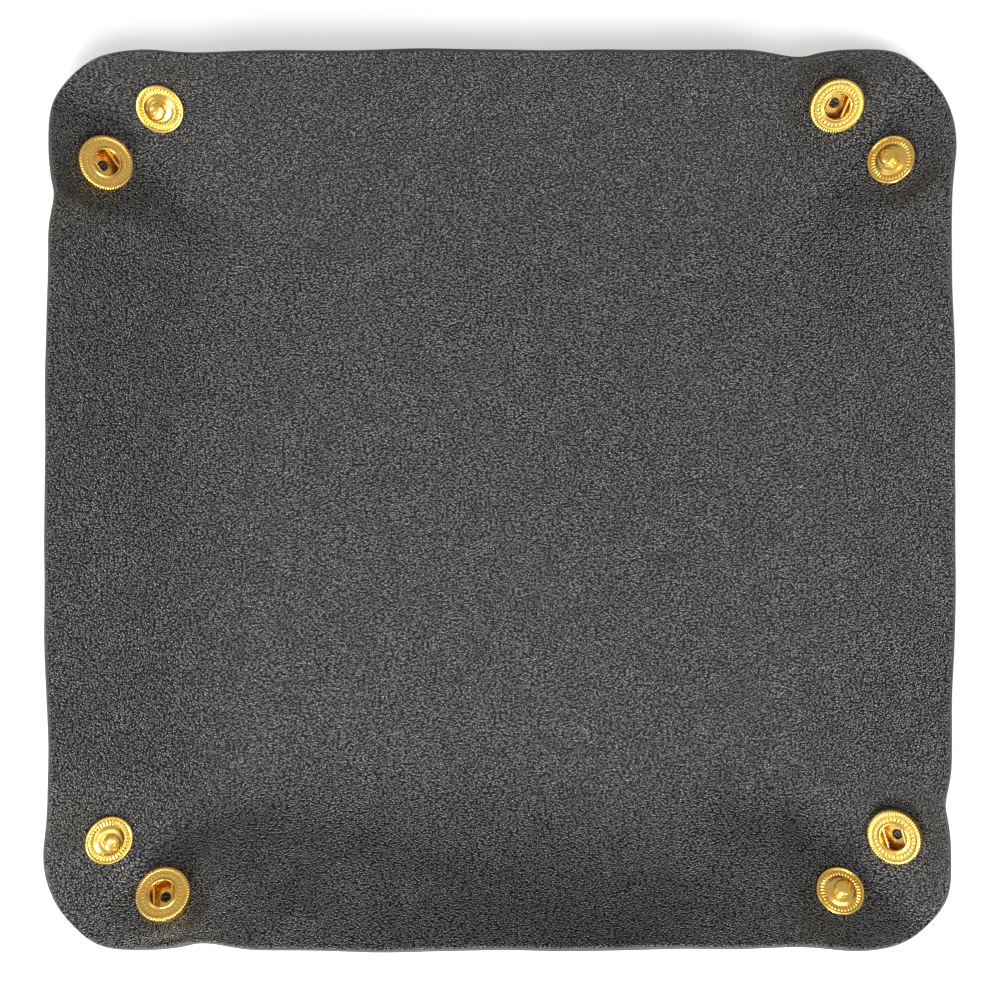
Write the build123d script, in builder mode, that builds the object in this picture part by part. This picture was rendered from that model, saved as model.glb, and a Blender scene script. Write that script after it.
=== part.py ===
"""Valet tray: one leather sheet that folds up into a shallow tray, with a press fastener at each corner.

The origin is at the centre of the base's underside, +Z is up, +X is right and +Y is the back.
Lengths are in millimetres and angles in degrees.
"""

import os
from math import acos, asin, atan2, cos, degrees, hypot, radians, sin, sqrt, tan

from build123d import *

# Leather sheet
sheet_side = 200.0
sheet_corner_radius = 26.5
leather_thickness = 1.8
wall_depth = 37.0

# Folds: the ear angle lies between an ear's outer fold and the corner's diagonal
ear_angle = 34.0
rest_wall_angle = 26.5
fold_gap = 0.3
open_fold_gap = 2.1
root_relief_radius = 5.5

# Press fasteners: how far they sit from the base's corner, along each of the corner's two base folds
# with the sheet flat, and how far apart the leather is when they are closed
snap_near_reach = 10.0
snap_far_reach = 22.8
snapped_gap = 4.2
rivet_clearance = 0.1

# Socket cover
socket_rim_overhang = 0.8
socket_height = 3.2
socket_rim_height = 1.7
socket_rim_width = 0.75
socket_dish_depth = 0.2
socket_neck_diameter = 10.8
socket_wall = 0.5
socket_mouth_diameter = 5.8
socket_lip_width = 0.6
socket_edge_radius = 0.3

# Socket back and spring
back_wall = 0.4
back_clearance = 0.05
spring_wire = 0.6
spring_clearance = 0.03
spring_grip_gap = 3.6
spring_end_clearance = 0.1

# Cap, with the tube that is clinched inside the socket
cap_diameter = 12.5
cap_edge = 0.6
cap_crown = 1.3
cap_tube_diameter = 3.2
cap_tube_bore = 2.4
clinch_diameter = 4.6
clinch_height = 0.22

# Stud
stud_diameter = 11.0
stud_flange = 0.9
stud_rim_width = 0.8
stud_plate = 0.6
stud_boss_diameter = 5.6
stud_boss_slope = 0.7
stud_boss_height = 1.05
stud_neck_diameter = 3.4
stud_neck_bottom = 1.25
stud_neck_top = 2.05
stud_head_diameter = 3.9
stud_head_middle = 2.6
stud_height = 3.3
stud_bore_height = 2.4
stud_edge_radius = 0.3

# Stud post
post_flange_diameter = 9.6
post_edge = 0.4
post_flange = 0.8
post_bevel = 1.2
post_tube_diameter = 2.3
post_tube_bore = 1.5
post_end_clearance = 0.1

# Directions of the spring wires in the four sockets, as they were set by hand
spring_turns = {"front_right": 12.0, "back_right": 70.0, "back_left": 35.0, "front_left": 95.0}

sides = ("front", "right", "back", "left")
corners = ("front_right", "back_right", "back_left", "front_left")
right_angle = 90.0

base_half = sheet_side / 2 - wall_depth
half_gap = fold_gap / 2
socket_diameter = socket_neck_diameter + 2 * socket_rim_overhang

# The ear fold's angle, measured from the base fold's direction away from the corner
crease_angle = right_angle + right_angle / 2 - ear_angle
crease_cos = cos(radians(crease_angle))
crease_sin = sin(radians(crease_angle))
closed_wall_angle = degrees(acos(-crease_cos / crease_sin))


def corner_fold(wall_angle):
    """Angles of the ear fold and the diagonal fold that keep a corner symmetric at this wall angle.

    The ear turns about its fold until the diagonal lies in the corner's upright plane of symmetry. The
    first three values below are how far the ear fold, the ear's own breadth and the wall's outward
    normal point towards that plane. The last value returned is how far along the base fold the ear
    fold starts, so that the diagonal's axis, half the snapped gap above the leather, lies in the plane.
    """
    lean = radians(wall_angle)
    along = -(crease_cos + crease_sin * cos(lean)) / sqrt(2)
    across = (crease_sin - crease_cos * cos(lean)) / sqrt(2)
    outward = sin(lean) / sqrt(2)
    swing = -along / (hypot(across, outward) * tan(radians(ear_angle)))
    ear_fold = acos(min(swing, 1)) - atan2(outward, across)
    facing = min(sin(ear_fold) * across + cos(ear_fold) * outward, 1)
    turned = crease_cos * along - crease_sin * (cos(ear_fold) * across - sin(ear_fold) * outward)
    axis_height = leather_thickness + snapped_gap / 2
    start = (axis_height * sqrt(2) * facing - leather_thickness * sin(lean)) / (1 + sqrt(2) * turned)
    return degrees(ear_fold), degrees(2 * asin(facing)), start


rest_ear_fold, rest_diagonal_fold, _ = corner_fold(rest_wall_angle)
_, _, crease_start = corner_fold(closed_wall_angle)

# Places of the stud on its ear and of the socket on the mirrored ear, from the base's corner
stud_spot = (-snap_near_reach, snap_far_reach)
socket_spot = (-snap_far_reach, snap_near_reach)


def turn_about(point, direction, angle):
    """A turn about the axis through a point."""
    return Location(point, direction, angle) * Location(-Vector(*point))


def wall_place(index, wall_angle=rest_wall_angle):
    """A wall's place: its origin at the stud corner, X along the base fold and Y up its face."""
    flat = Plane(origin=(base_half, -base_half, leather_thickness), x_dir=(-1, 0, 0), z_dir=(0, 0, 1))
    around = Location((0, 0, 0), (0, 0, 1), index * right_angle)
    return around * Location(flat) * turn_about((0, 0, 0), (1, 0, 0), wall_angle)


def stud_ear_place(index, wall_angle=rest_wall_angle, ear_fold=rest_ear_fold):
    """The wall's place, turned back about the ear fold, whose axis is on the outer face."""
    fold = turn_about((crease_start, 0, -leather_thickness), (crease_cos, crease_sin, 0), -ear_fold)
    return wall_place(index, wall_angle) * fold


def socket_ear_place(index, wall_angle=rest_wall_angle, ear_fold=rest_ear_fold, diagonal=rest_diagonal_fold):
    """The stud ear's place, turned up about the diagonal's axis."""
    fold = turn_about((0, 0, snapped_gap / 2), (-1, 1, 0), diagonal)
    return stud_ear_place(index, wall_angle, ear_fold) * fold


def crease_edge(height, offset):
    """Where a line beside the ear fold, at this offset, crosses this height up the wall."""
    return crease_start + offset / crease_sin + height * crease_cos / crease_sin


def keep(piece, node):
    """Names a finished piece and writes it."""
    piece.label = node
    export_step(piece, "parts/" + node + ".step")


def profile_plane(seat):
    """The plane through a fastener's axis, with its X outwards and its Y along the axis."""
    return Plane(origin=seat.origin, x_dir=seat.x_dir, z_dir=-seat.y_dir)


def make_base():
    """The base, up to its four folds."""
    with BuildPart() as base:
        with BuildSketch():
            Rectangle(2 * (base_half - half_gap), 2 * (base_half - half_gap))
        extrude(amount=leather_thickness)
    keep(base.part, "leather_base")


def make_wall(index):
    """A wall between its two ear folds, from just above the base fold to the rim."""
    stud_end = [(crease_edge(height, half_gap), height) for height in (half_gap, wall_depth)]
    socket_end = [(2 * base_half - edge, height) for edge, height in reversed(stud_end)]
    with BuildPart() as wall:
        with BuildSketch(Plane(wall_place(index))):
            with BuildLine():
                Polyline(*stud_end, *socket_end, close=True)
            make_face()
        extrude(amount=-leather_thickness)
    keep(wall.part, "leather_wall_" + sides[index])


def make_ear(place, node, spot, hole_diameter, crease_gap, mirrored):
    """An ear: the wedge of the sheet's rounded corner between its outer fold and the diagonal."""
    far = 2 * wall_depth
    inner = half_gap * sqrt(2)
    wedge = [
        (inner, 0),
        (inner - far, far),
        (crease_edge(far, -crease_gap), far),
        (crease_edge(0, -crease_gap), 0),
    ]
    if mirrored:
        wedge = [(-up, -along) for along, up in wedge]
    with BuildPart() as ear:
        with BuildSketch(Plane(place)):
            with Locations((base_half, -base_half)):
                RectangleRounded(sheet_side, sheet_side, sheet_corner_radius)
            with BuildLine():
                Polyline(*wedge, close=True)
            make_face(mode=Mode.INTERSECT)
            Circle(root_relief_radius, mode=Mode.SUBTRACT)
            with Locations(spot):
                Circle(hole_diameter / 2 + rivet_clearance, mode=Mode.SUBTRACT)
        extrude(amount=-leather_thickness)
    keep(ear.part, node)


def make_stud(seat, node):
    """The stud: a rimmed disc with a raised boss, a neck and a ball head, hollow for its post."""
    rim = stud_diameter / 2
    neck = stud_neck_diameter / 2
    head = stud_head_diameter / 2
    bore = post_tube_diameter / 2 + rivet_clearance
    with BuildPart() as stud:
        with BuildSketch(profile_plane(seat)):
            with BuildLine():
                Polyline(
                    (0, stud_bore_height),
                    (bore, stud_bore_height),
                    (bore, 0),
                    (rim, 0),
                    (rim, stud_flange),
                    (rim - stud_rim_width, stud_flange),
                    (rim - stud_rim_width, stud_plate),
                    (stud_boss_diameter / 2 + stud_boss_slope, stud_plate),
                    (stud_boss_diameter / 2, stud_boss_height),
                    (neck, stud_neck_bottom),
                    (neck, stud_neck_top),
                    (head, stud_head_middle),
                )
                TangentArc((0, stud_height), (head, stud_head_middle), tangent=(1, 0))
                Line((0, stud_height), (0, stud_bore_height))
            make_face()
        revolve(axis=Axis(seat.origin, seat.z_dir))
        outline = stud.edges().filter_by(lambda edge: edge.geom_type == GeomType.CIRCLE)
        upper_rim = outline.filter_by(lambda edge: edge.radius > rim - stud_edge_radius)
        fillet(upper_rim.sort_by(Axis(seat.origin, seat.z_dir))[-1], stud_edge_radius)
    keep(stud.part, node)


def make_post(seat, node):
    """The stud's post: a flange under the leather and a tube up into the stud."""
    rim = post_flange_diameter / 2
    below = -leather_thickness
    top = stud_bore_height - post_end_clearance
    with BuildPart() as post:
        with BuildSketch(profile_plane(seat)):
            with BuildLine():
                Polyline(
                    (post_tube_bore / 2, top),
                    (post_tube_bore / 2, below - post_flange),
                    (rim - post_bevel, below - post_flange),
                    (rim, below - post_edge),
                    (rim, below),
                    (post_tube_diameter / 2, below),
                    (post_tube_diameter / 2, top),
                    close=True,
                )
            make_face()
        revolve(axis=Axis(seat.origin, seat.z_dir))
    keep(post.part, node)


def make_socket_cover(seat, node):
    """The socket's cover: an inverted cup with an overhanging rim, a dished face and a lipped mouth."""
    rim = socket_diameter / 2
    neck = socket_neck_diameter / 2
    mouth = socket_mouth_diameter / 2
    dish = socket_height - socket_dish_depth
    under = socket_height - socket_wall
    with BuildPart() as cover:
        with BuildSketch(profile_plane(seat)):
            with BuildLine():
                Polyline(
                    (neck, 0),
                    (neck, socket_height - socket_rim_height),
                    (rim, socket_height - socket_rim_height),
                    (rim, socket_height),
                    (rim - socket_rim_width, socket_height),
                    (rim - socket_rim_width, dish),
                    (mouth + socket_lip_width, dish),
                    (mouth + socket_lip_width, socket_height),
                    (mouth, socket_height),
                    (mouth, under),
                    (neck - socket_wall, under),
                    (neck - socket_wall, 0),
                    close=True,
                )
            make_face()
        revolve(axis=Axis(seat.origin, seat.z_dir))
        outline = cover.edges().filter_by(lambda edge: edge.geom_type == GeomType.CIRCLE)
        fillet(outline.filter_by(lambda edge: edge.radius > rim - socket_edge_radius), socket_edge_radius)
    keep(cover.part, node)


def make_socket_back(seat, node):
    """The socket's inner cup, which holds the spring up against the cover."""
    rim = socket_neck_diameter / 2 - socket_wall - back_clearance
    bore = cap_tube_diameter / 2 + rivet_clearance
    top = socket_height - socket_wall - spring_wire - 2 * spring_clearance
    with BuildPart() as back:
        with BuildSketch(profile_plane(seat)):
            with BuildLine():
                Polyline(
                    (bore, 0),
                    (rim, 0),
                    (rim, top),
                    (rim - back_wall, top),
                    (rim - back_wall, back_wall),
                    (bore, back_wall),
                    close=True,
                )
            make_face()
        revolve(axis=Axis(seat.origin, seat.z_dir))
    keep(back.part, node)


def make_socket_spring(seat, node):
    """The spring: one wire bent into a hairpin along the seat's Y, whose two legs grip the stud's neck."""
    housing = socket_neck_diameter / 2 - socket_wall - spring_end_clearance
    bend = (spring_grip_gap + spring_wire) / 2
    far_end = housing - bend - spring_wire / 2
    near_end = -sqrt((housing - spring_wire / 2) ** 2 - (bend + spring_wire / 2) ** 2)
    level = socket_height - socket_wall - spring_clearance - spring_wire / 2
    with BuildPart() as spring:
        with BuildLine(seat.offset(level)) as wire:
            Line((bend, near_end), (bend, far_end))
            CenterArc((0, far_end), bend, 0, 2 * right_angle)
            Line((-bend, far_end), (-bend, near_end))
        with BuildSketch(Plane(origin=wire.line @ 0, z_dir=wire.line % 0)):
            Circle(spring_wire / 2)
        sweep()
    keep(spring.part, node)


def make_cap(seat, node):
    """The outer cap: a low dome, with a tube through the leather that is clinched over the inner cup."""
    rim = cap_diameter / 2
    below = -leather_thickness
    clinch = back_wall + spring_clearance
    with BuildPart() as cap:
        with BuildSketch(profile_plane(seat)):
            with BuildLine():
                Polyline(
                    (rim, below - cap_edge),
                    (rim, below),
                    (cap_tube_diameter / 2, below),
                    (cap_tube_diameter / 2, clinch),
                    (clinch_diameter / 2, clinch),
                    (clinch_diameter / 2, clinch + clinch_height),
                    (cap_tube_bore / 2, clinch + clinch_height),
                    (cap_tube_bore / 2, below),
                    (0, below),
                    (0, below - cap_crown),
                )
                TangentArc((0, below - cap_crown), (rim, below - cap_edge), tangent=(1, 0))
            make_face()
        revolve(axis=Axis(seat.origin, seat.z_dir))
    keep(cap.part, node)


def make_corner(index):
    """A corner's two ears, with the stud on one and the socket on the other."""
    corner = corners[index]
    stud_ear = stud_ear_place(index)
    socket_ear = socket_ear_place(index)
    make_ear(stud_ear, "leather_stud_ear_" + corner, stud_spot, post_tube_diameter, half_gap, False)
    wide_gap = open_fold_gap - half_gap
    make_ear(socket_ear, "leather_socket_ear_" + corner, socket_spot, cap_tube_diameter, wide_gap, True)
    stud_seat = Plane(stud_ear * Location((*stud_spot, 0)))
    make_stud(stud_seat, "stud_" + corner)
    make_post(stud_seat, "post_" + corner)
    socket_seat = Plane(socket_ear * Location((*socket_spot, 0)))
    make_socket_cover(socket_seat, "socket_cover_" + corner)
    make_socket_back(socket_seat, "socket_back_" + corner)
    turn = Location((0, 0, 0), (0, 0, 1), spring_turns[corner])
    make_socket_spring(Plane(socket_seat.location * turn), "socket_spring_" + corner)
    make_cap(socket_seat, "cap_" + corner)


os.makedirs("parts", exist_ok=True)
make_base()
for side_index in range(len(sides)):
    make_wall(side_index)
    make_corner(side_index)
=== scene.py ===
"""Valet tray: the looks of a folded leather sheet with four brass press fasteners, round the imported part.

Lengths are in metres, unless they are said to be in mm. The flat sheet lies in x and y with its middle
at the origin, and the surface that folds it is worked out once as a grid, from which every leather piece
takes its shape.
"""

import math

import bpy
import numpy as np
from bpy.props import FloatProperty, FloatVectorProperty, IntProperty, PointerProperty
from mathutils import Matrix, Vector


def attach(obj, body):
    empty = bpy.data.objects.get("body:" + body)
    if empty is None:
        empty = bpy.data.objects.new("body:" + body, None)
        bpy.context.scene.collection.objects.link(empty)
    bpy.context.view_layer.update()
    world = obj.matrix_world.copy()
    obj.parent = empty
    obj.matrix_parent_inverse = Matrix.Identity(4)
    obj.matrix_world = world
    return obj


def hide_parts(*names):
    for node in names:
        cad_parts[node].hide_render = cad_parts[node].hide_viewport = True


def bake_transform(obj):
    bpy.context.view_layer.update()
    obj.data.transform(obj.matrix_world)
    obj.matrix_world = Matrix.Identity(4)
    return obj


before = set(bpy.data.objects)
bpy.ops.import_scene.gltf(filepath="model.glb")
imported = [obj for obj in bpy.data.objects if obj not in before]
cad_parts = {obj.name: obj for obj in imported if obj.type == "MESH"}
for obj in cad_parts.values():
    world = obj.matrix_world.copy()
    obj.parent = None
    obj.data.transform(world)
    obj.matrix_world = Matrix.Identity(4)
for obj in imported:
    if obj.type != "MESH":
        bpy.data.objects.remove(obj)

bl_info = {
    "name": "Valet tray",
    "version": (1, 0, 0),
    "blender": (4, 5, 0),
    "location": "View3D > Sidebar > Valet tray",
    "description": "Leather, press fasteners and stage of a folding valet tray",
    "category": "Object",
}

MM = 0.001

# The flat sheet and its folds, as the part has them
SHEET_HALF = 100 * MM
SHEET_CORNER_RADIUS = 26.5 * MM
THICKNESS = 1.8 * MM
BASE_HALF = 63 * MM
WALL_DEPTH = SHEET_HALF - BASE_HALF
SNAPPED_GAP = 4.2 * MM
CREASE_START = 3.7498 * MM
CREASE_ANGLE = math.radians(101)
WALL_ANGLE = math.radians(26.5)
EAR_FOLD = math.radians(13.2427)
DIAGONAL_FOLD = math.radians(59.1793)
SNAP_NEAR = 10 * MM
SNAP_FAR = 22.8 * MM

# Sides and corners in turn: corner i ends side i, going anticlockwise
SIDES = ("front", "right", "back", "left")
CORNERS = ("front_right", "back_right", "back_left", "front_left")

# The surface's grid, and how far it is evened out once the waves are on it
GRID_STEP = 0.5 * MM
GRID_HALF = 112 * MM
LAST_SMOOTHING = 0.8 * MM

# A wall's rounded section: where it starts and ends from the base fold, its step in mm, the slopes
# between which its own is sought and the rounds of that search
SECTION_ENDS = (-40 * MM, 50 * MM)
SECTION_STEP = 0.1
SECTION_SLOPES = (0.1, 1.2)
SECTION_ROUNDS = 30

# The walls' slow change between an early and a late bend, side by side: mm per radian, and phase
EARLY_WAVE = (24, 30, 28, 34)
EARLY_PHASE = (3.6, 0.6, -1.2, 1.4)

# Where a corner goes over from one way of folding to another: from wall to wall across its diagonal,
# from the base to the ears along it, from the corner to the rounded sections, and round a seat
WALL_CHANGE = (-10 * MM, 10 * MM)
EAR_CHANGE = (-4 * MM, 6 * MM)
SECTION_CHANGE = (4 * MM, 36 * MM)
SEAT_CHANGE = (5.6 * MM, 13 * MM)

# Where the rim is drawn in beside a fastener: above this height up the wall, and along the rim from a
# first ramp, one for the front and back walls and one for the left and right, to a last one. The ramps'
# places are measured outwards from the base's corner.
TRIM_HEIGHT = 29.3 * MM
TRIM_END = (13 * MM, 34 * MM)
SOCKET_RAMPS = ((-12 * MM, 5 * MM), (-5 * MM, 5 * MM))
STUD_RAMPS = ((-20 * MM, 2 * MM), (-16 * MM, 4 * MM))

# The rims' rise beside the corners: its place along the wall and its width, how steeply it grows up the
# wall, and the share of the wall's height at which it stops growing
RISE_PLACE = 52 * MM
RISE_WIDTH = 17 * MM
RISE_POWER = 1.6
RISE_LIMIT = 1.2

# The base's bulge, and the ripples as (length in mm, direction, phase), with their mean in ripple heights
DOME_CENTRE = (-2 * MM, 3 * MM)
DOME_REACH = 38 * MM
RIPPLES = (
    (46, 0.4, 0.3), (38, 1.7, 2.1), (33, 2.6, 4.0), (27, 0.9, 1.2),
    (23, 2.1, 5.2), (19, 3.0, 0.7), (16, 1.2, 3.3),
)
RIPPLE_MEAN = 2.5

# Distances either side of a crease, and the height up the crease at which they are taken, from which the
# crease strips' operator works out two spots.
CREASE_BAND = (4.5 * MM, 3.2 * MM)
CREASE_MIDDLE = 20 * MM

# How the sheet is cut up: the walls' reach into the base, and the crease strip's into wall and ear
SEAM_IN = 12 * MM
STRIP_WALL = 5 * MM
STRIP_EAR = 3.4 * MM

# Tongues behind an open fold, as (lowest, highest, reach into the wall, reach into the ear), and how far
# inside the leather's two faces they lie
EAR_TONGUE = (-2.5 * MM, 35.8 * MM, 3 * MM, 2 * MM)
WALL_TONGUE = (-2.5 * MM, 16 * MM, 2.6 * MM, 5 * MM)
TONGUE_DEPTH = 0.55 * MM

# How far apart the pieces' vertices stand, and the closer rows beside a cut and at the rim
BASE_STEP = 1 * MM
WALL_STEP = 0.8 * MM
ALONG_STEP = 0.9 * MM
TONGUE_STEP = 0.9 * MM
CREASE_STEP = 0.6 * MM
EAR_STEP = 0.55 * MM
CUT_ROWS = (0.12 * MM,)
RIM_ROWS = (0.05 * MM, 0.12 * MM, 0.22 * MM, 0.32 * MM, 0.42 * MM)

# The same as shares of a wall's length, of a root's sides and of an ear's rays, with the parts of a root,
# the lengths that rays are taken to have for their rows and at the rim, and the share of the outline
# whose rays start beside the crease strip
ALONG_ROWS = (0.001,)
ROOT_PARTS = (22, 16)
ROOT_ROWS = (0.01,)
EAR_ROWS = (0.003,)
EAR_RAYS = (42 * MM, 40 * MM)
EAR_ROOT_SHARE = 0.12

# Columns of a tongue and loops round a piece's side. A vertex further inside the outline than the
# clearance is on a cut between two pieces, and what is less than tiny counts as nought.
TONGUE_COLUMNS = 9
SIDE_LOOPS = 3
RIM_CLEARANCE = 0.01 * MM
TINY = 1e-9

# The fasteners' fineness round the axis and along the profile in mm
SEGMENTS_PER_BEAD = 6
SEGMENTS_PER_RIB = 8
PROFILE_STEP = 0.12

# The covers' relief in mm: the shoulder's ramps in radius and height and its scallops' depth, the level of
# the face, and of its raised rounds the radius of their ring, breadth and height
SHOULDER = ((5.5, 5.95), (1.9, 2.5))
SCALLOP_DEPTH = 0.15
FACE_LEVEL = 2.9
RIM_BEAD = (5.38, 0.17, 0.1)
FACE_DOT = (4.3, 0.2, 0.14)

# The studs' ribs in mm: the ramps in radius at their two ends, between which heights they lie, and how high
RIB_ENDS = ((3.55, 3.8), (4.45, 4.68))
RIB_LEVELS = (0.5, 0.8)
RIB_HEIGHT = 0.22

# Soft lamps as (name, angle from the zenith, angle round it from the right, size, power), and how far off
LAMPS = (
    ("lamp_top", 20, 305, 0.3, 4.6),
    ("lamp_key", 57, 256, 0.36, 10.5),
    ("lamp_right", 48, 330, 0.3, 1.0),
    ("lamp_left", 60, 185, 0.3, 1.2),
)
LAMP_DISTANCE = 1.0

# The floor's rings, its segments, and how bright it looks by itself beside the light that falls on it
FLOOR_RADII = (0.001, 0.2, 0.5, 1.0, 2.0, 4.0)
FLOOR_SEGMENTS = 64
FLOOR_GLOW = 0.55

# Colours of what gives off light, and the camera's sensor width in mm
WHITE = (1, 1, 1, 1)
BLACK = (0, 0, 0, 1)
SENSOR_WIDTH = 36

KEPT_SURFACE = {}

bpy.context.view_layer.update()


# Settings
def measure(name, description, default):
    """A setting that is a length."""
    return FloatProperty(
        name=name, description=description, default=default, subtype="DISTANCE", unit="LENGTH"
    )


def two_measures(name, description, default):
    """A setting of two lengths."""
    return FloatVectorProperty(name=name, description=description, default=default, size=2, unit="LENGTH")


def tint(name, description, default):
    """A setting that is a colour."""
    return FloatVectorProperty(
        name=name, description=description, default=default, subtype="COLOR", size=3, min=0, max=1
    )


class LeatherSettings(bpy.types.PropertyGroup):
    """Shape and finish of the leather."""

    fold_softness: measure(
        "Fold softness", "Half the width of the bend along a base fold, near the corners", 14 * MM
    )
    early_bend: two_measures(
        "Early bend", "Where a wall's bend starts and ends, from the base fold", (-26 * MM, 20 * MM)
    )
    late_bend: two_measures("Late bend", "The same where a wall rises latest", (-10 * MM, 33 * MM))
    side_reach: measure("Side reach", "How far the side walls' rims stand out from their folds", 33.1 * MM)
    end_reach: measure(
        "End reach", "How far the front and back walls' rims stand out from their folds", 31.8 * MM
    )
    crease_softness: measure("Crease softness", "Half the width of the bend beside each ear", 6 * MM)
    valley_softness: measure(
        "Valley softness", "Half the width of the bend along each corner's diagonal", 4 * MM
    )
    smoothing: measure("Smoothing", "Reach over which the whole surface is evened out", 2.6 * MM)
    rim_wave: measure("Rim wave", "How far the rims rise and fall beside the corners", 2.2 * MM)
    dome: measure("Dome", "How far the base's middle bulges up", 1.6 * MM)
    ripple: measure("Ripple", "Height of the slow ripples all over the sheet", 0.16 * MM)
    stud_trim: two_measures(
        "Stud trim", "How far the rim is drawn in beside the studs: front and back, then left and right",
        (1.4 * MM, 0),
    )
    socket_trim: two_measures("Socket trim", "The same beside the sockets", (3.5 * MM, 3.2 * MM))
    edge_rounding: measure("Edge rounding", "Radius of the sheet's cut edges", 0.4 * MM)
    grain_size: measure("Grain size", "Breadth of one pebble of the grain", 0.52 * MM)
    grain_depth: measure("Grain depth", "Height of the grain", 0.22 * MM)
    face_color: tint("Face colour", "Colour of the pebbles' tops", (0.032, 0.032, 0.032))
    # The furrow colour is painted shade: the furrows are coloured darker than the tops for the shade that
    # falls in them
    furrow_shade_color: tint("Furrow colour", "Colour between the pebbles", (0.004, 0.004, 0.004))
    back_color: tint("Back colour", "Colour of the underside", (0.03, 0.028, 0.027))
    edge_color: tint("Edge colour", "Colour of the cut edge's core", (0.16, 0.15, 0.14))


class FastenerSettings(bpy.types.PropertyGroup):
    """Shape and finish of the press fasteners."""

    rim_beads: IntProperty(name="Rim beads", description="Beads round a socket's rim", default=64, min=3)
    face_dots: IntProperty(name="Face dots", description="Dots round a socket's mouth", default=30, min=3)
    stud_ribs: IntProperty(name="Stud ribs", description="Ribs round a stud's boss", default=36, min=3)
    metal_color: tint("Metal colour", "Colour of the gilt brass", (0.98, 0.66, 0.17))
    polish: FloatProperty(
        name="Roughness", description="Roughness of the polished metal", default=0.26, min=0, max=1,
        subtype="FACTOR",
    )


class StageSettings(bpy.types.PropertyGroup):
    """Camera, room and floor."""

    camera_height: measure("Camera height", "Height of the camera over the table", 600 * MM)
    focal_length: FloatProperty(
        name="Focal length", description="Focal length on a 36 mm sensor, in millimetres", default=98.64,
    )
    room_color: tint("Room colour", "Light of the room on everything", (0.08, 0.08, 0.08))
    mirrored_color: tint("Mirrored colour", "Room as polished things mirror it", (0.52, 0.52, 0.52))
    floor_color: tint("Floor colour", "Colour of the floor", (0.9, 0.9, 0.9))


# The folded surface
def smooth(value, low, high):
    """The smoothstep 3t^2 - 2t^3 of value between low and high."""
    t = np.clip((value - low) / (high - low), 0, 1)
    return t * t * (3 - 2 * t)


def turn_about(point, direction, angle):
    """A turn by angle about the axis through point, as a 4x4 array."""
    shift = Matrix.Translation(Vector(point))
    return np.array(shift @ Matrix.Rotation(angle, 4, Vector(direction)) @ shift.inverted())


def quarter_turn(index):
    """The turn about Z that brings the front right corner to the corner of this index."""
    return np.array(Matrix.Rotation(index * math.pi / 2, 4, "Z"))


def moved(matrix, points):
    """Points of any array shape, moved by a 4x4."""
    return points @ matrix[:3, :3].T + matrix[:3, 3]


def corner_places():
    """The folded places of the front right corner's front wall, right wall, stud ear and socket ear.

    Each is the 4x4 that takes the flat sheet there. The walls turn about the base folds, the stud ear
    about the ear fold on the leather's outer face, and the socket ear about the diagonal, whose axis is
    half the snapped gap above the leather.
    """
    front = turn_about((BASE_HALF, -BASE_HALF, THICKNESS), (-1, 0, 0), WALL_ANGLE)
    right = turn_about((BASE_HALF, -BASE_HALF, THICKNESS), (0, -1, 0), WALL_ANGLE)
    crease = (-math.cos(CREASE_ANGLE), -math.sin(CREASE_ANGLE), 0)
    stud = front @ turn_about((BASE_HALF - CREASE_START, -BASE_HALF, 0), crease, -EAR_FOLD)
    height = THICKNESS + SNAPPED_GAP / 2
    socket = stud @ turn_about((BASE_HALF, -BASE_HALF, height), (1, -1, 0), DIAGONAL_FOLD)
    return front, right, stud, socket


def seat_place(index, socket):
    """The 4x4 of a fastener's seat on the leather's face: X along the wall, Z out of the face."""
    _, _, on_stud, on_socket = corner_places()
    x, y = (SNAP_FAR, SNAP_NEAR) if socket else (SNAP_NEAR, SNAP_FAR)
    flat = np.array(Matrix.Translation((BASE_HALF + x, -BASE_HALF - y, THICKNESS)))
    half_turn = np.array(Matrix.Rotation(math.pi, 4, "Z"))
    return quarter_turn(index) @ (on_socket if socket else on_stud) @ flat @ half_turn


def blurred(grid, reach):
    """The grid evened out by a Gaussian of this standard deviation, first down and then across."""
    cells = reach / GRID_STEP
    span = int(3 * cells) + 1
    taps = np.exp(-0.5 * (np.arange(-span, span + 1) / cells) ** 2)
    taps /= taps.sum()
    for axis in (0, 1):
        widths = [(span, span) if a == axis else (0, 0) for a in range(3)]
        padded = np.pad(grid, widths, mode="reflect", reflect_type="odd")
        size = grid.shape[axis]
        grid = sum(tap * np.take(padded, np.arange(k, k + size), axis=axis) for k, tap in enumerate(taps))
    return grid


def bent_line(bend, reach):
    """A wall's rounded section, as (distance beyond the fold, how far out it comes to lie, height).

    The slope is A times the smoothstep over the bend, and the places are the running sums of its cosine
    and sine. A is halved in on until the rim stands out by reach.
    """
    out = np.arange(*SECTION_ENDS, SECTION_STEP * MM)
    low, high = SECTION_SLOPES
    for _ in range(SECTION_ROUNDS):
        middle = (low + high) / 2
        slope = middle * smooth(out, *bend)
        along = out[0] + np.concatenate([[0], np.cumsum(np.cos(slope[1:])) * SECTION_STEP * MM])
        if np.interp(WALL_DEPTH, out, along) > reach:
            low = middle
        else:
            high = middle
    height = np.concatenate([[0], np.cumsum(np.sin(slope[1:])) * SECTION_STEP * MM])
    return out, along, height


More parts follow.
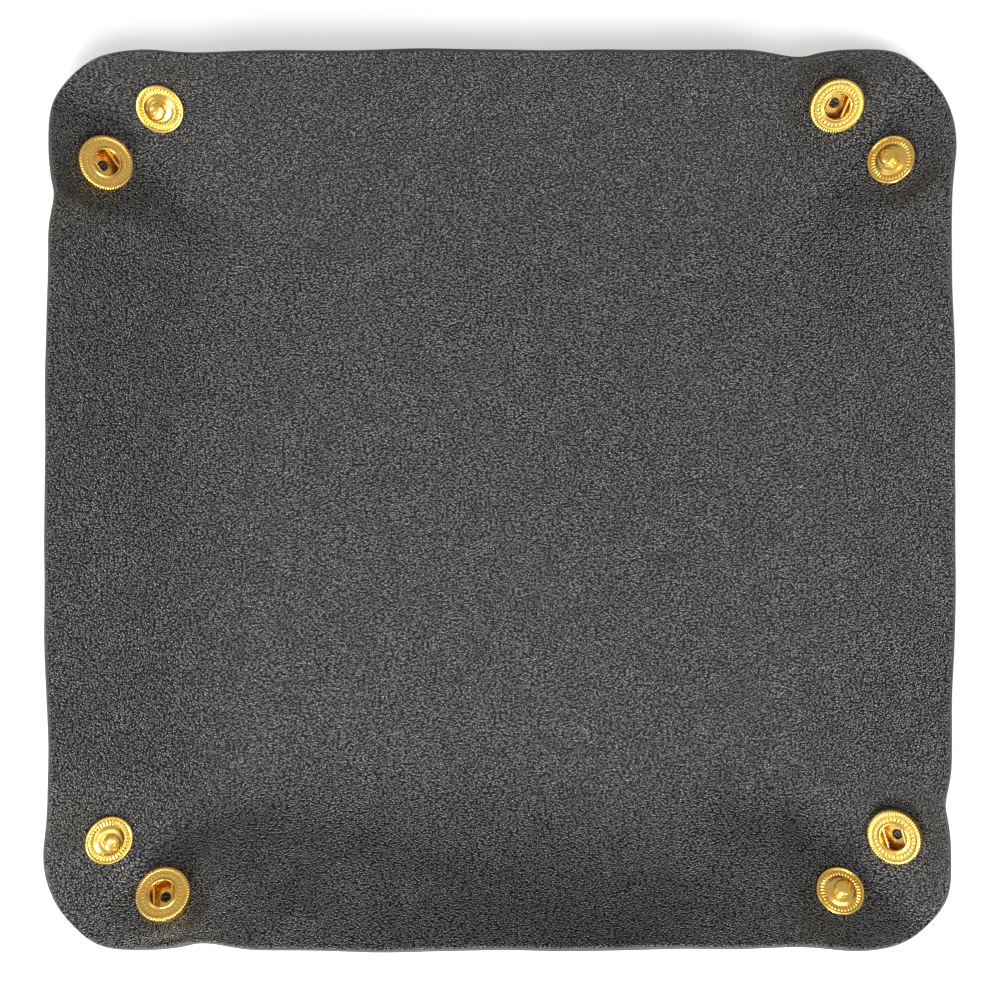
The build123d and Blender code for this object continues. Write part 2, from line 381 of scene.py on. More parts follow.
class Surface:
    """The leather's face as it lies folded, for any point of the flat sheet.

    The grid holds the place and normal of the face at every flat point. Each corner mixes the rigid
    places of the base, its two walls and its two ears by smoothsteps of the distances to the fold
    lines. Away from the corners the walls follow rounded sections, between an early and a late bend. The
    whole is blurred, the fasteners' seats are put back, and slow waves are added and evened out.
    """

    def __init__(self, settings):
        line = np.arange(-GRID_HALF, GRID_HALF + GRID_STEP / 2, GRID_STEP)
        x, y = np.meshgrid(line, line, indexing="ij")
        flat = np.stack([x, y, np.full_like(x, THICKNESS)], -1)
        folded, rigid, seat = flat.copy(), flat.copy(), np.zeros_like(x)
        for index in range(4):
            there, back = quarter_turn(index), quarter_turn(-index)
            own = moved(back, flat)
            here = (own[..., 0] >= -GRID_STEP / 2) & (own[..., 1] <= GRID_STEP / 2)
            self.trim(own, index, settings)
            place, hard, mask = self.corner(own[here], index, settings)
            folded[here], rigid[here], seat[here] = moved(there, place), moved(there, hard), mask
        soft = blurred(folded, settings.smoothing)
        soft = soft + (rigid - soft) * seat[..., None]
        wave = self.waves(x, y, settings) * (1 - seat)
        soft = blurred(soft + self.normals(soft) * wave[..., None], LAST_SMOOTHING)
        soft[..., 2] = np.maximum(soft[..., 2], THICKNESS)
        self.place = soft
        self.normal = self.normals(soft)

    @staticmethod
    def trim(own, index, settings):
        """Draws the rim in beside the front right corner's socket and stud.

        There each flat point takes the place of one further in, by the trim times smoothsteps of its
        height up the wall and of its distance along the rim.
        """
        for out, trims, ramps in (
            (0, settings.socket_trim, SOCKET_RAMPS), (1, settings.stud_trim, STUD_RAMPS),
        ):
            sign, side = (1, -1)[out], (index + 1 - out) % 2
            run = np.abs(own[..., 1 - out]) - BASE_HALF
            share = smooth(run, *ramps[side]) * (1 - smooth(run, *TRIM_END))
            share *= smooth(sign * own[..., out] - BASE_HALF, TRIM_HEIGHT, WALL_DEPTH)
            own[..., out] -= sign * share * trims[side]

    @staticmethod
    def rounded(out, along, side, settings):
        """Steps (outwards, upwards) from the flat sheet to a wall's rounded section.

        along runs along the base fold from the left as seen from the middle, and the wall bends between
        the early and the late way by a slow wave along it.
        """
        reach = (settings.end_reach, settings.side_reach)[side % 2]
        early = 0.5 + 0.5 * np.sin(along / (EARLY_WAVE[side] * MM) + EARLY_PHASE[side])
        steps = []
        for bend in (settings.early_bend, settings.late_bend):
            line, outward, height = bent_line(bend, reach)
            steps.append(np.stack([np.interp(out, line, outward - line), np.interp(out, line, height)], -1))
        return steps[1] + (steps[0] - steps[1]) * early[:, None]

    @classmethod
    def corner(cls, own, index, settings):
        """Mixed place, rigid place and seat mask of points of the front right quarter of the sheet."""
        out_right = own[:, 0] - BASE_HALF
        out_front = -own[:, 1] - BASE_HALF
        across = (out_right - out_front) / math.sqrt(2)
        along = (out_right + out_front) / math.sqrt(2)
        sine, cosine = math.sin(CREASE_ANGLE), math.cos(CREASE_ANGLE)
        beside_stud = sine * (out_right + CREASE_START) + cosine * out_front
        beside_socket = sine * (out_front + CREASE_START) + cosine * out_right
        bend, crease, valley = settings.fold_softness, settings.crease_softness, settings.valley_softness
        front_share = smooth(out_front, -bend, bend)
        right_share = smooth(out_right, -bend, bend)
        side = smooth(across, *WALL_CHANGE)
        front_share, right_share = front_share * (1 - side), right_share * side
        ear = smooth(beside_stud, -crease, crease) * smooth(beside_socket, -crease, crease)
        ear *= smooth(along, *EAR_CHANGE)
        socket_share = smooth(across, -valley, valley)
        front, right, stud, socket = (moved(place, own) for place in corner_places())
        walls = own + (front - own) * front_share[:, None] + (right - own) * right_share[:, None]
        to_front = cls.rounded(out_front, own[:, 0], index, settings) * (1 - side)[:, None]
        to_right = cls.rounded(out_right, own[:, 1], (index + 1) % 4, settings) * side[:, None]
        curved = own + np.stack([to_right[:, 0], -to_front[:, 0], to_front[:, 1] + to_right[:, 1]], -1)
        inward = np.where(across > 0, -out_front, -out_right)
        walls += (curved - walls) * smooth(inward, *SECTION_CHANGE)[:, None]
        ears = stud + (socket - stud) * socket_share[:, None]
        mixed = walls + (ears - walls) * ear[:, None]
        near_stud = np.hypot(out_right - SNAP_NEAR, out_front - SNAP_FAR)
        near_socket = np.hypot(out_right - SNAP_FAR, out_front - SNAP_NEAR)
        seat = 1 - smooth(np.minimum(near_stud, near_socket), *SEAT_CHANGE)
        return mixed, ears, seat

    @staticmethod
    def waves(x, y, settings):
        """How far the face is lifted along its normal.

        It is the sum of a Gaussian rise of the rims beside the corners, a round Gaussian bulge of the
        base, and slow ripples, which are sines in scattered directions.
        """
        reach = np.maximum(np.abs(x), np.abs(y))
        along = np.where(np.abs(x) > np.abs(y), y, x)
        up_wall = np.clip((reach - BASE_HALF) / WALL_DEPTH, 0, RISE_LIMIT)
        rise = np.exp(-(((np.abs(along) - RISE_PLACE) / RISE_WIDTH) ** 2))
        rim = rise * settings.rim_wave * up_wall**RISE_POWER
        aside = ((x - DOME_CENTRE[0]) / DOME_REACH) ** 2 + ((y - DOME_CENTRE[1]) / DOME_REACH) ** 2
        dome = settings.dome * np.exp(-aside)
        ripple = np.zeros_like(x)
        for length, direction, phase in RIPPLES:
            run = x * math.cos(direction) + y * math.sin(direction)
            ripple += length / RIPPLES[0][0] * np.sin(2 * np.pi * run / (length * MM) + phase)
        return rim + dome + settings.ripple * (RIPPLE_MEAN + ripple)

    @staticmethod
    def normals(place):
        """Unit normals from the cross product of the grid's central differences."""
        normal = np.cross(np.gradient(place, axis=0), np.gradient(place, axis=1))
        return normal / np.linalg.norm(normal, axis=-1, keepdims=True)

    def at(self, flat):
        """Place and normal at flat points, by cubic interpolation of the grid (Catmull-Rom, 4 x 4 taps)."""
        cell = (np.asarray(flat) + GRID_HALF) / GRID_STEP
        first = np.floor(cell).astype(int)
        first = np.clip(first, 1, self.place.shape[0] - 3)
        t = (cell - first)[..., None]
        weights = [-t + 2 * t**2 - t**3, 2 - 5 * t**2 + 3 * t**3, t + 4 * t**2 - 3 * t**3, t**3 - t**2]
        weights = 0.5 * np.concatenate(weights, -1)
        place = np.zeros(cell.shape[:-1] + (3,))
        normal = np.zeros_like(place)
        for i in range(4):
            for j in range(4):
                weight = (weights[..., 0, i] * weights[..., 1, j])[..., None]
                picked = first[..., 0] + i - 1, first[..., 1] + j - 1
                place += weight * self.place[picked]
                normal += weight * self.normal[picked]
        return place, normal / np.linalg.norm(normal, axis=-1, keepdims=True)


def inset(flat):
    """Distance of flat points from the sheet's outline, a square with rounded corners; positive inside."""
    q = np.abs(flat) - (SHEET_HALF - SHEET_CORNER_RADIUS)
    outside = np.hypot(np.maximum(q[..., 0], 0), np.maximum(q[..., 1], 0))
    return SHEET_CORNER_RADIUS - outside - np.minimum(np.maximum(q[..., 0], q[..., 1]), 0)


# Mesh making
def new_piece(name, places, faces, materials, slots=None, uv=None, sharp=None):
    """A mesh object of quads, put in with foreach_set.

    A quad whose last two corners are alike is a triangle. The faces are turned over where their signed
    volume is below nought, so a closed piece faces outwards. slots gives each face's material, uv each
    vertex's place on the flat sheet, and sharp marks the vertices between which edges stay sharp.
    """
    mesh = bpy.data.meshes.new(name)
    faces = np.asarray(faces, np.int32)
    a, b, c, d = (np.asarray(places, float)[faces[:, k]] for k in range(4))
    triangle = faces[:, 2:3] == faces[:, 3:]
    if (a * (np.cross(b, c) + np.cross(c, d))).sum() < 0:
        faces = np.where(triangle, faces[:, [0, 2, 1, 1]], faces[:, [0, 3, 2, 1]])
    count = len(faces)
    sides = np.where(triangle[:, 0], 3, 4)
    faces = faces.ravel()[(np.arange(4) < sides[:, None]).ravel()]
    mesh.vertices.add(len(places))
    mesh.vertices.foreach_set("co", np.asarray(places, np.float32).ravel())
    mesh.loops.add(len(faces))
    mesh.loops.foreach_set("vertex_index", faces)
    mesh.polygons.add(count)
    mesh.polygons.foreach_set("loop_start", np.concatenate([[0], np.cumsum(sides)[:-1]]).astype(np.int32))
    mesh.update(calc_edges=True)
    mesh.polygons.foreach_set("use_smooth", np.ones(count, bool))
    if slots is not None:
        mesh.polygons.foreach_set("material_index", np.asarray(slots, np.int32))
    if uv is not None:
        layer = mesh.uv_layers.new(name="flat_sheet")
        layer.uv.foreach_set("vector", np.asarray(uv[faces], np.float32).ravel())
    if sharp is not None:
        ends = np.zeros(2 * len(mesh.edges), np.int32)
        mesh.edges.foreach_get("vertices", ends)
        mark = sharp[ends.reshape(-1, 2)].all(1)
        mesh.attributes.new("sharp_edge", "BOOLEAN", "EDGE").data.foreach_set("value", mark)
    for material in materials:
        mesh.materials.append(material)
    if mesh.validate():
        raise RuntimeError(name + ": the mesh had faulty faces")
    piece = bpy.data.objects.new(name, mesh)
    bpy.context.scene.collection.objects.link(piece)
    return piece


def grid_faces(rows, columns, wrap=False, start=0):
    """The quads of a grid of rows x columns vertices, numbered row by row from start."""
    i = np.arange(rows - 1)[:, None]
    j = np.arange(columns if wrap else columns - 1)[None, :]
    k = (j + 1) % columns
    corners = [i * columns + j, (i + 1) * columns + j, (i + 1) * columns + k, i * columns + k]
    shape = rows - 1, j.shape[1]
    return np.stack([np.broadcast_to(corner, shape) for corner in corners], -1).reshape(-1, 4) + start


def slab(name, surface, flat, radius, materials, depth):
    """A closed slab of leather over a grid of flat points, between two depths under the surface.

    Near the sheet's outline both draw in along a quarter circle of this radius, so the cut edge is
    rounded. More loops of vertices run round the side.
    """
    rows, columns = flat.shape[:2]
    count = rows * columns
    place, normal = surface.at(flat)
    distance = np.clip(inset(flat), 0, None)
    short = np.clip(radius - distance, 0, radius)
    sink = radius - np.sqrt(radius**2 - short**2)
    top = (place - normal * np.maximum(sink, depth[0])[..., None]).reshape(-1, 3)
    bottom = (place - normal * np.minimum(THICKNESS - sink, depth[1])[..., None]).reshape(-1, 3)
    ring = np.arange(count).reshape(rows, columns)
    ring = np.concatenate([ring[0], ring[1:, -1], ring[-1, -2::-1], ring[-2:0:-1, 0]])
    share = (np.arange(1, SIDE_LOOPS + 1) / (SIDE_LOOPS + 1))[:, None, None]
    side = top[ring] * (1 - share) + bottom[ring] * share
    places = np.concatenate([top, bottom, side.reshape(-1, 3)])
    between = 2 * count + np.arange(SIDE_LOOPS * len(ring)).reshape(SIDE_LOOPS, -1)
    loops = np.stack([ring, *between, ring + count])
    nxt = np.roll(loops, -1, axis=1)
    parts = (
        grid_faces(rows, columns),
        grid_faces(rows, columns, start=count)[:, ::-1],
        np.stack([loops[1:], nxt[1:], nxt[:-1], loops[:-1]], -1).reshape(-1, 4),
    )
    slots = np.repeat(np.arange(len(parts)), [len(part) for part in parts])
    uv = flat.reshape(-1, 2)
    outward = uv[ring] / np.maximum(np.linalg.norm(uv[ring], axis=-1, keepdims=True), TINY)
    uv_side = uv[ring] + outward * (share * THICKNESS)
    cut = ring[distance.reshape(-1)[ring] > RIM_CLEARANCE]
    sharp = np.zeros(len(places), bool)
    sharp[cut] = sharp[cut + count] = True
    uv = np.concatenate([uv, uv, uv_side.reshape(-1, 2)])
    return new_piece(name, places, np.concatenate(parts), materials, slots, uv, sharp)


def spaced(length, step, fine_start, fine_end):
    """Places along a length about step apart, with more of them near either end."""
    inner = np.linspace(0, length, max(int(round(length / step)), 1) + 1)
    extra = np.concatenate([np.array(fine_start, float), length - np.array(fine_end, float)])
    return np.unique(np.concatenate([inner, extra]).round(9))


def crease_out(height, offset=0.0):
    """How far along the base fold the ear fold stands at this height up the wall, moved by offset."""
    return CREASE_START + offset / math.sin(CREASE_ANGLE) + height / math.tan(CREASE_ANGLE)


def on_sheet(index, along, up):
    """Flat sheet points of wall coordinates: along the base fold from the stud corner, and up the wall."""
    x, y = BASE_HALF - along, -BASE_HALF - up
    turn = quarter_turn(index)
    return np.stack([turn[0, 0] * x + turn[0, 1] * y, turn[1, 0] * x + turn[1, 1] * y], -1)


def base_flat():
    """The base's middle: a square grid, out to where the walls' bends begin."""
    line = spaced(2 * (BASE_HALF - SEAM_IN), BASE_STEP, CUT_ROWS, CUT_ROWS) - (BASE_HALF - SEAM_IN)
    return np.stack(np.meshgrid(line, line, indexing="ij"), -1)


def wall_flat(index):
    """A wall from inside the base to the rim.

    Below the fold its ends run in, and above it they follow the ear folds: past the crease strip at the
    stud end, and on the fold itself at the socket end.
    """
    height = spaced(SEAM_IN + WALL_DEPTH, WALL_STEP, CUT_ROWS, RIM_ROWS) - SEAM_IN
    height = np.unique(np.append(height, 0.0))
    low = np.clip(-height / SEAM_IN, 0, 1)
    up = np.clip(height, 0, None)
    start = crease_out(up, STRIP_WALL) * (1 - low) + SEAM_IN * low
    end = crease_out(up) * (1 - low) + SEAM_IN * low
    share = spaced(1.0, ALONG_STEP / (2 * BASE_HALF), ALONG_ROWS, ALONG_ROWS)
    along = start[:, None] + (2 * BASE_HALF - end - start)[:, None] * share
    return on_sheet(index, along, np.broadcast_to(height[:, None], along.shape))


def crease_flat(index):
    """The strip over a stud ear's fold, from the base fold to the rim."""
    height = spaced(WALL_DEPTH, CREASE_STEP, CUT_ROWS, RIM_ROWS)
    offset = spaced(STRIP_WALL + STRIP_EAR, CREASE_STEP, CUT_ROWS, CUT_ROWS) - STRIP_EAR
    along = np.stack([crease_out(height, o) for o in offset], 1)
    return on_sheet(index, along, np.broadcast_to(height[:, None], along.shape))


def tongue_flat(index, low, high, in_wall, in_ear):
    """A strip across the open fold between a socket ear and the next wall, between two heights."""
    height = np.linspace(low, high, 1 + round((high - low) / TONGUE_STEP))[:, None]
    along = 2 * BASE_HALF - crease_out(height) + np.linspace(-in_wall, in_ear, TONGUE_COLUMNS)
    return on_sheet((index + 1) % 4, along, np.broadcast_to(height, along.shape))


def root_flat(index):
    """The base's own corner, between the ends of two walls."""
    outline = (-SEAM_IN, -SEAM_IN), (-crease_out(0, STRIP_WALL), 0), (0, 0), (0, -CREASE_START)
    a, b, d, e = np.array(outline)
    s, t = (spaced(1.0, 1 / parts, ROOT_ROWS, ROOT_ROWS) for parts in ROOT_PARTS)
    s, t = s[:, None, None], t[None, :, None]
    point = (a * (1 - s) + b * s) * (1 - t) + (e * (1 - s) + d * s) * t
    return on_sheet(index, -point[..., 0], point[..., 1])


def ear_flat(index):
    """Both ears of a corner: straight rays from the root to the sheet's outline.

    Across, the rays go from the crease strip over the diagonal to the socket ear's fold. The outline
    runs along the front rim, round the corner's arc and along the side rim.
    """
    left = -crease_out(WALL_DEPTH, -STRIP_EAR)
    right = -crease_out(WALL_DEPTH)
    centre = WALL_DEPTH - SHEET_CORNER_RADIUS
    bow = SHEET_CORNER_RADIUS * math.pi / 2
    first, last = centre - left, centre - right
    run = spaced(first + bow + last, EAR_STEP, CUT_ROWS, CUT_ROWS)
    angle = np.clip((run - first) / SHEET_CORNER_RADIUS, 0, math.pi / 2)
    out_right = centre + SHEET_CORNER_RADIUS * np.sin(angle) - np.clip(first - run, 0, None)
    out_front = centre + SHEET_CORNER_RADIUS * np.cos(angle) - np.clip(run - first - bow, 0, None)
    rim = np.stack([out_right, out_front], -1)
    corner = np.array([[-crease_out(0, -STRIP_EAR), 0], [0, 0], [0, -CREASE_START]])
    share = run / run[-1]
    root = np.stack([np.interp(share, (0, EAR_ROOT_SHARE, 1), corner[:, k]) for k in (0, 1)], -1)
    parts = spaced(1.0, EAR_STEP / EAR_RAYS[0], EAR_ROWS, np.array(RIM_ROWS) / EAR_RAYS[1])
    point = root[None] + (rim - root)[None] * parts[:, None, None]
    return on_sheet(index, -point[..., 0], point[..., 1])


def arc(centre, radius, start, end, count):
    """Points of a circle's arc in a profile, from start to end in degrees, centre and radius in mm."""
    angle = np.radians(np.linspace(start, end, count))
    return [(centre[0] + radius * c, centre[1] + radius * s) for c, s in zip(np.cos(angle), np.sin(angle))]


def divided(points, step):
    """A profile's points with more put in evenly, so that none are further apart than step."""
    out = [points[0]]
    for one, other in zip(points[:-1], points[1:]):
        parts = max(int(math.ceil(math.dist(one, other) / step)), 1)
        share = np.arange(1, parts + 1)[:, None] / parts
        out.extend(map(tuple, np.array(one) + (np.array(other) - np.array(one)) * share))
    return np.array(out)


def turned(name, seat, profile, segments, relief, material):
    """A profile of (radius, height) in mm turned about the seat's Z.

    The point at angle a is (r cos a, r sin a, h), moved along the profile's own normal by
    relief(r, h, a). A profile that starts and ends on the axis closes in two poles, and another one
    closes on itself.
    """
    profile = np.asarray(profile, float)
    poles = profile[0, 0] < TINY and profile[-1, 0] < TINY
    line = profile[1:-1] if poles else profile
    along = profile[2:] - profile[:-2] if poles else np.roll(line, -1, axis=0) - np.roll(line, 1, axis=0)
    area = np.sum(profile[:, 0] * np.roll(profile[:, 1], -1) - np.roll(profile[:, 0], -1) * profile[:, 1])
    normal = np.stack([along[:, 1], -along[:, 0]], -1) * np.sign(area)
    normal /= np.linalg.norm(normal, axis=-1, keepdims=True)
    angle = np.arange(segments) * (2 * np.pi / segments)
    lift = relief(line[:, :1], line[:, 1:], angle[None])
    radius = line[:, :1] + normal[:, :1] * lift
    height = line[:, 1:] + normal[:, 1:] * lift
    places = np.stack([radius * np.cos(angle), radius * np.sin(angle), height], -1).reshape(-1, 3)
    faces = grid_faces(len(line), segments, wrap=True)
    step, last = np.arange(segments), (len(line) - 1) * segments
    nxt = (step + 1) % segments
    if poles:
        pole = np.full(segments, len(places))
        closing = [(pole, step, nxt, nxt), (pole + 1, last + nxt, last + step, last + step)]
        places = np.concatenate([places, [[0, 0, profile[0, 1]], [0, 0, profile[-1, 1]]]])
    else:
        closing = [(last + step, step, nxt, last + nxt)]
    faces = np.concatenate([faces, *(np.stack(corners, -1) for corners in closing)])
    return new_piece(name, moved(seat, places * MM), faces, [material])


def socket_profile():
    """The socket cover's section in mm, anticlockwise: neck, overhanging rim, dish, lip and inside."""
    points = [(5.4, 0), (5.4, 1.35), (5.48, 1.48), (5.6, 1.5)]
    points += arc((5.87, 1.83), 0.33, -90, 0, 7) + arc((5.74, 2.74), 0.46, 0, 90, 10)
    points += [(5.6, 3.2), (5.46, 3.17), (5.34, 3.06), (5.24, 3.01), (5.1, 3.0)]
    points += [(3.75, 3.0), (3.6, 3.01), (3.5, 3.05)]
    points += arc((3.19, 2.98), 0.29, 40, 180, 12) + [(2.9, 2.7), (4.9, 2.7), (4.9, 0), (5.4, 0)]
    return divided(points, PROFILE_STEP)[:-1]


def stud_profile():
    """The stud's section in mm: up its bore, round the rim, up the boss and over the ball."""
    points = [(0, 2.4), (1.25, 2.4), (1.25, 0), (5.2, 0)]
    points += arc((5.1, 0.45), 0.4, -60, 160, 18) + [(4.68, 0.6), (3.62, 0.6), (3.5, 0.63)]
    points += [(2.95, 0.95), (2.84, 1.02), (2.7, 1.07), (2.0, 1.16)]
    points += [(1.78, 1.22), (1.66, 1.36), (1.62, 1.6), (1.68, 1.9)]
    swell = np.radians(np.linspace(-38, 80, 22))
    points += [(1.95 * c, 2.56 + 0.74 * s) for c, s in zip(np.cos(swell), np.sin(swell))]
    points += [(0.22, 3.25), (0.1, 3.2), (0, 3.19)]
    return divided(points, PROFILE_STEP)


def socket_relief(beads, dots):
    """Beads cut into the rim's shoulder as scallops |cos|^0.5, with rings of round beads and dots.

    The beads stand on the scallops and the dots about the mouth, each as a Gaussian hill.
    """

    def relief(radius, height, angle):
        shoulder = smooth(radius, *SHOULDER[0]) * smooth(height, *SHOULDER[1])
        scallop = np.abs(np.cos(angle * beads / 2)) ** 0.5
        rise = SCALLOP_DEPTH * shoulder * (scallop - 1)
        for count, ring, size, lift in ((beads, *RIM_BEAD), (dots, *FACE_DOT)):
            pitch = 2 * np.pi / count
            aside = (np.mod(angle + pitch / 2, pitch) - pitch / 2) * radius
            hill = np.exp(-(((radius - ring) ** 2 + aside**2) / size**2))
            rise = rise + lift * hill * (height > FACE_LEVEL)
        return rise

    return relief


def stud_relief(ribs):
    """Radial ribs between the boss and the rim, as a raised cosine round the stud."""

    def relief(radius, height, angle):
        band = smooth(radius, *RIB_ENDS[0]) * (1 - smooth(radius, *RIB_ENDS[1]))
        band = band * (height > RIB_LEVELS[0]) * (height < RIB_LEVELS[1])
        return band * RIB_HEIGHT * (0.5 + 0.5 * np.cos(ribs * angle)) ** 0.8

    return relief


# Materials
class Nodes:
    """Adds nodes to a tree, and sets or links their sockets."""

    def __init__(self, tree):
        self.tree = tree

    def feed(self, node, links):
        """Sets a node's sockets by value, or links them by output."""
        for key, value in links.items():
            if isinstance(value, bpy.types.NodeSocket):
                self.tree.links.new(value, node.inputs[key])
            else:
                node.inputs[key].default_value = value
        return node

    def add(self, kind, links=None, **options):
        """A node of this kind, with these sockets and properties."""
        node = self.tree.nodes.new(kind)
        for key, value in options.items():
            setattr(node, key, value)
        return self.feed(node, links or {})

    def math(self, operation, *values):
        """A Math node's output."""
        return self.add("ShaderNodeMath", dict(enumerate(values)), operation=operation).outputs[0]

    def vector(self, operation, one, other):
        """A Vector Math node's output; for SCALE the second value is the factor."""
        links = {0: one, 3 if operation == "SCALE" else 1: other}
        return self.add("ShaderNodeVectorMath", links, operation=operation).outputs[0]

    def mix(self, share, one, other):
        """A mix of two colours."""
        return self.add("ShaderNodeMix", {"Factor": share, 6: one, 7: other}, data_type="RGBA").outputs[2]

    def range(self, value, low, high, to_low=0.0, to_high=1.0):
        """A Map Range node's output."""
        links = {0: value, 1: low, 2: high, 3: to_low, 4: to_high}
        return self.add("ShaderNodeMapRange", links, clamp=True).outputs[0]

    def noise(self, vector, **values):
        """A Noise Texture's outputs, with these values on its sockets."""
        return self.add("ShaderNodeTexNoise", {"Vector": vector, **values}).outputs

    def sized(self, given):
        """A group's Vector, measured in its Size."""
        return self.vector("SCALE", given["Vector"], self.math("DIVIDE", 1.0, given["Size"]))

    def group(self, name, vector, **values):
        """The outputs of a node group, with these values on its sockets."""
        tree = bpy.data.node_groups[name]
        return self.add("ShaderNodeGroup", {"Vector": vector, **values}, node_tree=tree).outputs

    def flat_place(self):
        """The place on the flat sheet."""
        return self.add("ShaderNodeUVMap", uv_map="flat_sheet").outputs[0]

    def object_place(self):
        """The place in the object's own coordinates."""
        return self.add("ShaderNodeTexCoord").outputs["Object"]

    def relief(self, height, depth):
        """The normal of a relief of this depth, from a height of 0 to 1."""
        return self.add("ShaderNodeBump", {"Strength": 1.0, "Distance": depth, "Height": height}).outputs[0]


def new_group(name, values, outputs):
    """A shader node group with a Vector, these values and these float outputs, and its two ends."""
    tree = bpy.data.node_groups.new(name, "ShaderNodeTree")
    tree.interface.new_socket("Vector", in_out="INPUT", socket_type="NodeSocketVector")
    for label, value in values.items():
        socket = tree.interface.new_socket(label, in_out="INPUT", socket_type="NodeSocketFloat")
        socket.default_value = value
    for label in outputs:
        tree.interface.new_socket(label, in_out="OUTPUT", socket_type="NodeSocketFloat")
    nodes = Nodes(tree)
    return nodes, nodes.add("NodeGroupInput").outputs, nodes.add("NodeGroupOutput")


def grain_group():
    """Pebbled grain: rounded cells a size apart, drawn out in slowly turning directions, with fine noise
    on them. Puts out the grain's height from 0 to 1 and a mask of the furrows, where the face paints shade."""
    values = {"Size": 0.6 * MM, "Turning": 3.5, "Fineness": 0.5}
    nodes, given, end = new_group("leather_grain", values, ("Height", "Furrow"))
    point = bent = nodes.sized(given)
    for rate, share in ((0.05, 1.0), (0.32, 0.16)):
        warp = nodes.noise(point, Scale=rate, Detail=1.0)["Color"]
        pushed = nodes.vector("SUBTRACT", warp, (0.5, 0.5, 0.5))
        pushed = nodes.vector("SCALE", pushed, nodes.math("MULTIPLY", given["Turning"], share))
        bent = nodes.vector("ADD", bent, pushed)
    stretched = nodes.vector("MULTIPLY", bent, (0.86, 1.2, 1.0))
    cells = nodes.add(
        "ShaderNodeTexVoronoi", {"Vector": stretched, "Scale": 1.0}, feature="F1", voronoi_dimensions="2D"
    )
    distance = cells.outputs["Distance"]
    dome = nodes.range(nodes.math("MULTIPLY", distance, distance), 0.0, 0.5, 1.0, 0.0)
    fine = nodes.noise(bent, Scale=1.9, Detail=2.0, Roughness=0.6)["Fac"]
    lift = nodes.math("MULTIPLY", nodes.math("SUBTRACT", fine, 0.5), given["Fineness"])
    height = nodes.math("ADD", dome, nodes.math("MULTIPLY", lift, 2.0))
    # The furrow mask marks where the face paints shade in the furrows and makes them dull
    nodes.feed(end, {"Height": height, "Furrow": nodes.range(height, 0.05, 0.55, 1.0, 0.0)})


def wear_group():
    """Uneven handling: slow patches a size apart, and finer specks in them."""
    values = {"Size": 20 * MM, "Sharpness": 0.5}
    nodes, given, end = new_group("uneven_wear", values, ("Patches", "Specks"))
    point = nodes.sized(given)
    slow = nodes.noise(point, Scale=0.6, Detail=4.0, Roughness=0.6)["Fac"]
    spread = nodes.math("SUBTRACT", 0.5, nodes.math("MULTIPLY", given["Sharpness"], 0.45))
    patches = nodes.range(slow, nodes.math("SUBTRACT", 0.5, spread), nodes.math("ADD", 0.5, spread))
    quick = nodes.noise(point, Scale=14.0, Detail=3.0, Roughness=0.7)["Fac"]
    specks = nodes.math("MULTIPLY", nodes.range(quick, 0.58, 0.7), slow)
    nodes.feed(end, {"Patches": patches, "Specks": specks})


def fibre_group():
    """Leather fibres: short strands a size apart, drawn out along Y, as a height from 0 to 1."""
    nodes, given, end = new_group("leather_fibre", {"Size": 0.4 * MM}, ("Height",))
    strands = nodes.vector("MULTIPLY", nodes.sized(given), (1.0, 0.55, 1.0))
    noise = nodes.noise(strands, Scale=1.0, Detail=4.0, Roughness=0.65, Distortion=0.8)["Fac"]
    nodes.feed(end, {"Height": nodes.range(noise, 0.3, 0.7)})


def new_material(name):
    """The nodes and the Principled shader of a new material."""
    material = bpy.data.materials.new(name)
    material.use_nodes = True
    return Nodes(material.node_tree), material.node_tree.nodes["Principled BSDF"]


def rgba(color, share=1.0):
    """A colour darkened to a share of itself, with full alpha."""
    return (*(share * part for part in color), 1.0)


def leather_face(settings):
    """Black pebbled face: the pebbles' tops are polished and paler, and slow patches vary the polish. The
    furrows are dull, and painted shade: coloured black and made metallic so that their black takes the
    gloss away too."""
    nodes, shader = new_material("leather_face")
    uv = nodes.flat_place()
    grain = nodes.group("leather_grain", uv, Size=settings.grain_size)
    wear = nodes.group("uneven_wear", uv, Size=22 * MM, Sharpness=0.4)
    furrow_shade_and_dullness = grain["Furrow"]
    polish = nodes.range(wear["Patches"], 0.0, 1.0, 0.14, 0.17)
    nodes.feed(shader, {
        # Painted shade: the furrows get the dark furrow colour and are made metallic, so they lose their
        # reflection as if in shadow; their added roughness is real dullness
        "Base Color": nodes.mix(furrow_shade_and_dullness, rgba(settings.face_color), rgba(settings.furrow_shade_color)),
        "Metallic": nodes.math("MULTIPLY", furrow_shade_and_dullness, 0.75),
        "Roughness": nodes.math("ADD", polish, nodes.math("MULTIPLY", furrow_shade_and_dullness, 0.4)),
        "Specular IOR Level": 1.0,
        "Normal": nodes.relief(grain["Height"], settings.grain_depth),
    })


def leather_back(settings):
    """Matte split underside: short fibres, darker in patches."""
    nodes, shader = new_material("leather_back")
    uv = nodes.flat_place()
    fibre = nodes.group("leather_fibre", uv, Size=0.5 * MM)["Height"]
    wear = nodes.group("uneven_wear", uv, Size=15 * MM, Sharpness=0.3)
    pale = nodes.mix(fibre, rgba(settings.back_color, 0.5), rgba(settings.back_color, 1.4))
    nodes.feed(shader, {
        "Base Color": nodes.mix(wear["Patches"], pale, rgba(settings.back_color, 0.7)),
        "Roughness": nodes.range(fibre, 0.0, 1.0, 0.95, 0.8),
        "Normal": nodes.relief(fibre, 0.12 * MM),
    })


